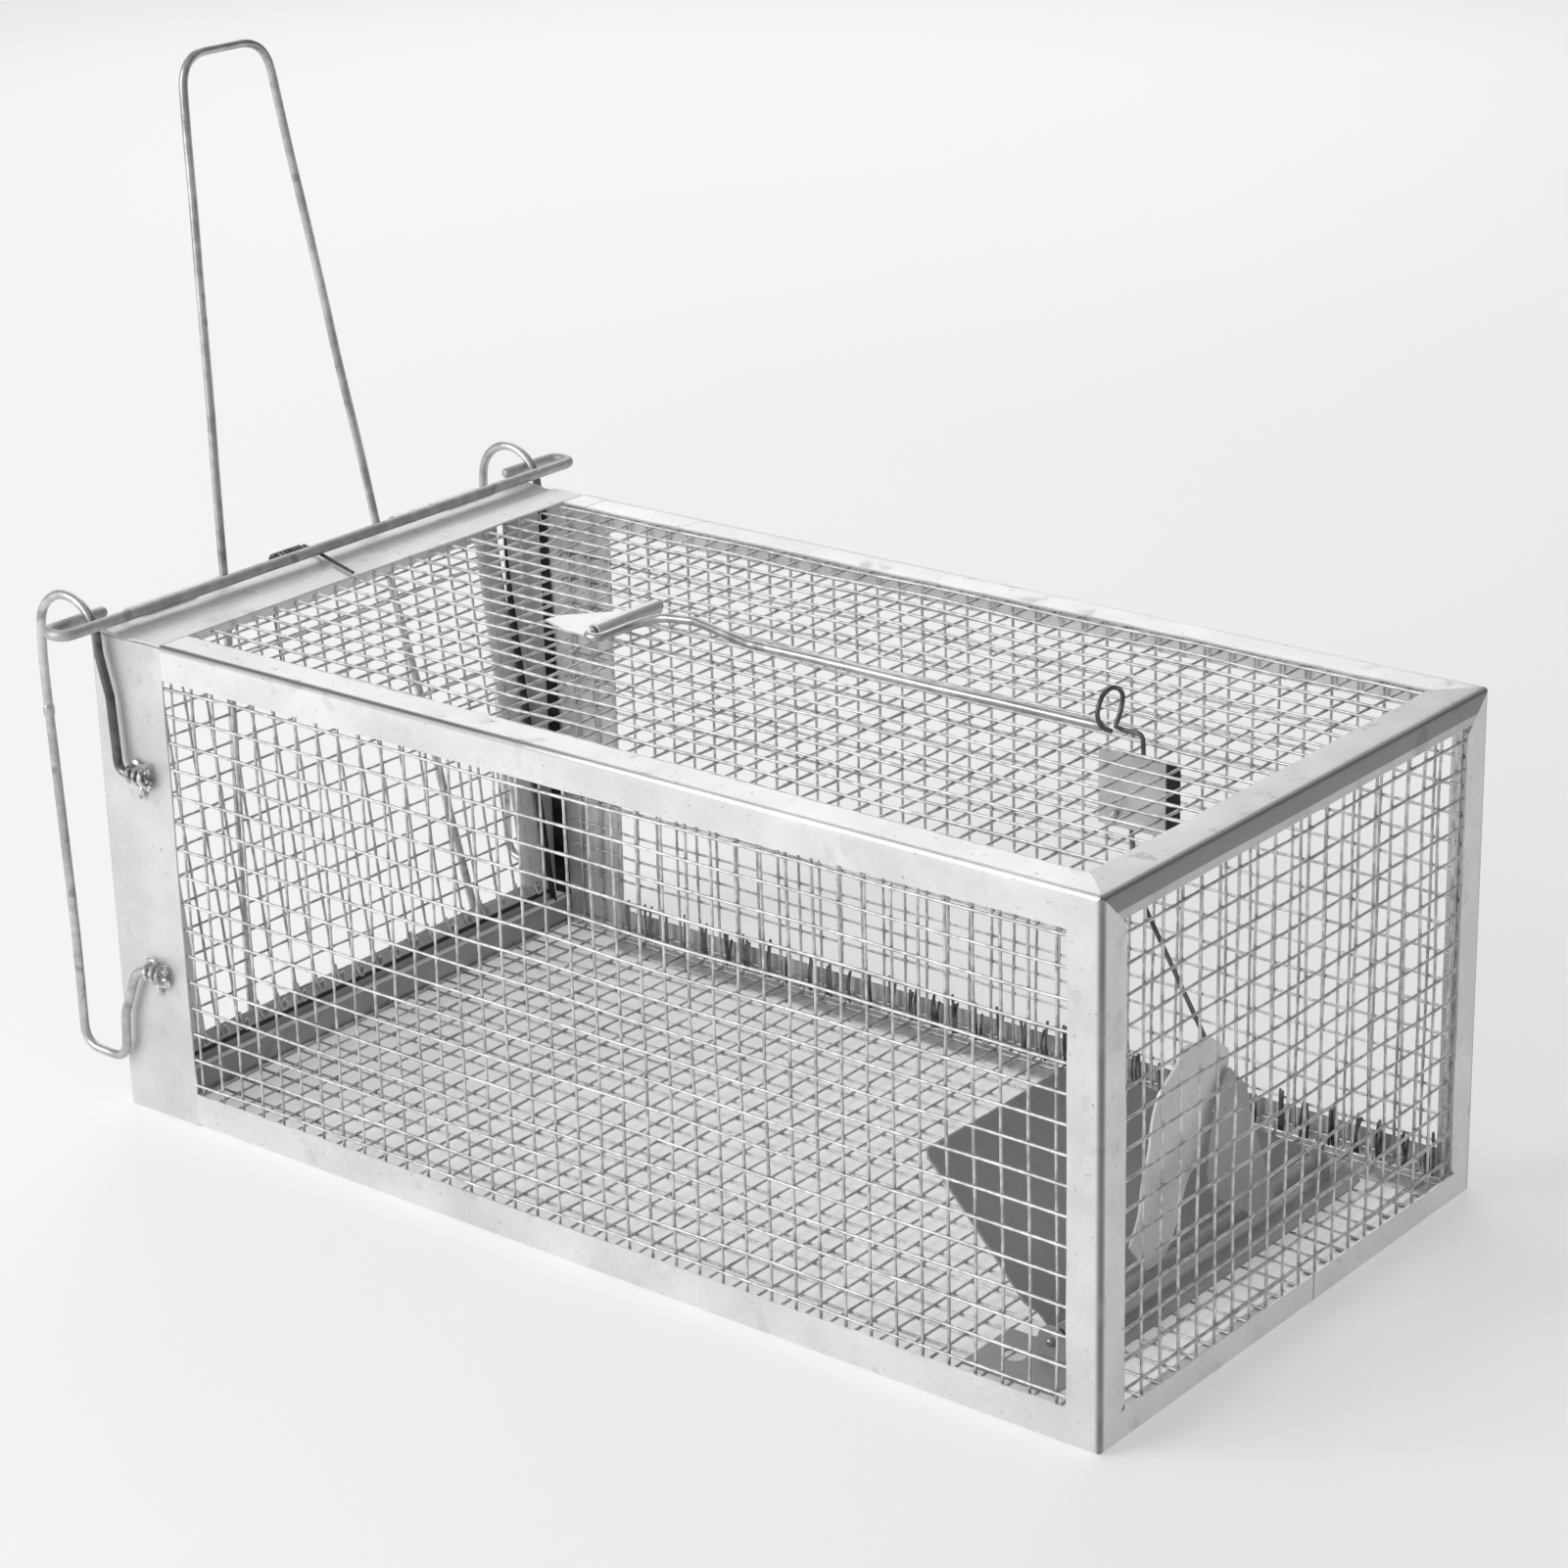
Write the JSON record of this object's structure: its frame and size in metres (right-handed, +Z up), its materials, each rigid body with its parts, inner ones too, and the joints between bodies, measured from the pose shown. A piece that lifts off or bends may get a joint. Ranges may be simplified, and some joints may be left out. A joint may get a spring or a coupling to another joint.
{
  "type": "live catch trap",
  "caption": "Galvanised wire-mesh live catch trap: a long box cage with a sprung drop door and wire handle, a lock bar, a roof trigger rod with catch, and a bait pedal.",
  "frame": {"origin": "centre of the whole trap's footprint, on the floor it stands on", "axes": "+X from the door to the closed end, +Y from the near side to the far side, +Z up"},
  "size_m": [0.2894, 0.1686, 0.231],
  "materials": {
    "bright_sheet": "bright galvanised",
    "dull_sheet": "dull galvanised",
    "pedal_grey": "dull grey",
    "netting": "galvanised wire",
    "wire": "drawn wire",
    "spring_steel": "dark drawn wire"
  },
  "bodies": {
    "cage": {"top_strip_near": "bright_sheet", "top_strip_far": "bright_sheet", "bottom_strip_near": "bright_sheet", "bottom_strip_far": "bright_sheet", "rear_post_near": "bright_sheet", "rear_post_far": "bright_sheet", "rear_strip_top": "dull_sheet", "rear_strip_bottom": "bright_sheet", "front_plate_near": "bright_sheet", "front_plate_far": "bright_sheet", "front_top_plate": "bright_sheet", "door_sill": "dull_sheet", "netting_top": "netting", "netting_bottom": "netting", "netting_near": "netting", "netting_far": "netting", "netting_rear": "netting", "hinge_pin": "wire", "hinge_knuckle_near": "bright_sheet", "hinge_knuckle_far": "bright_sheet", "torsion_spring": "spring_steel", "guide_wire_near": "wire", "guide_wire_far": "wire", "guide_strap_upper_near": "bright_sheet", "guide_strap_lower_near": "bright_sheet", "guide_strap_upper_far": "bright_sheet", "guide_strap_lower_far": "bright_sheet", "trigger_clip": "bright_sheet", "catch_bracket": "dull_sheet", "catch_pin": "wire", "pedal_base": "dull_sheet", "pedal_ear_near": "dull_sheet", "pedal_ear_far": "dull_sheet", "pedal_pin": "wire"},
    "door": {"door_strip_top": "bright_sheet", "door_strip_bottom": "dull_sheet", "door_strip_near": "bright_sheet", "door_strip_far": "bright_sheet", "door_netting": "netting", "door_knuckle_near": "bright_sheet", "door_knuckle_far": "bright_sheet", "spring_door_arm": "spring_steel", "door_handle": "wire"},
    "lock_bar": {"lock_bar": "wire"},
    "trigger_rod": {"trigger_rod": "wire"},
    "catch": {"catch_lever": "spring_steel"},
    "pedal": {"pedal_sleeve": "dull_sheet", "pedal_tread": "pedal_grey", "pedal_arm": "bright_sheet", "pedal_leaf": "dull_sheet"}
  },
  "joints": [
    {"name": "door_hinge", "type": "hinge", "parent": "cage", "child": "door", "pos_m": [-0.12687, 0, 0.1139], "axis": [0, 1, 0], "range_deg": [0, 73], "stiffness_Nm_per_rad": 0.02, "springref_deg": -91.67},
    {"name": "lock_bar_swing", "type": "hinge", "parent": "cage", "child": "lock_bar", "pos_m": [-0.12947, 0, 0.1132], "axis": [0, -1, 0], "range_deg": [0, 60]},
    {"name": "trigger_rod_hinge", "type": "hinge", "parent": "cage", "child": "trigger_rod", "pos_m": [-0.02797, 0, 0.1165], "axis": [0, -1, 0], "range_deg": [0, 165]},
    {"name": "pedal_hinge", "type": "hinge", "parent": "cage", "child": "pedal", "pos_m": [0.11793, 0, 0.0066], "axis": [0, -1, 0], "range_deg": [0, 8]},
    {"name": "catch_hinge", "type": "hinge", "parent": "cage", "child": "catch", "pos_m": [0.10123, 0, 0.1], "axis": [0, 1, 0], "range_deg": [0, 8]}
  ],
  "couplings": [
    {"joint": "catch_hinge", "follows": "pedal_hinge", "ratio": 1}
  ]
}
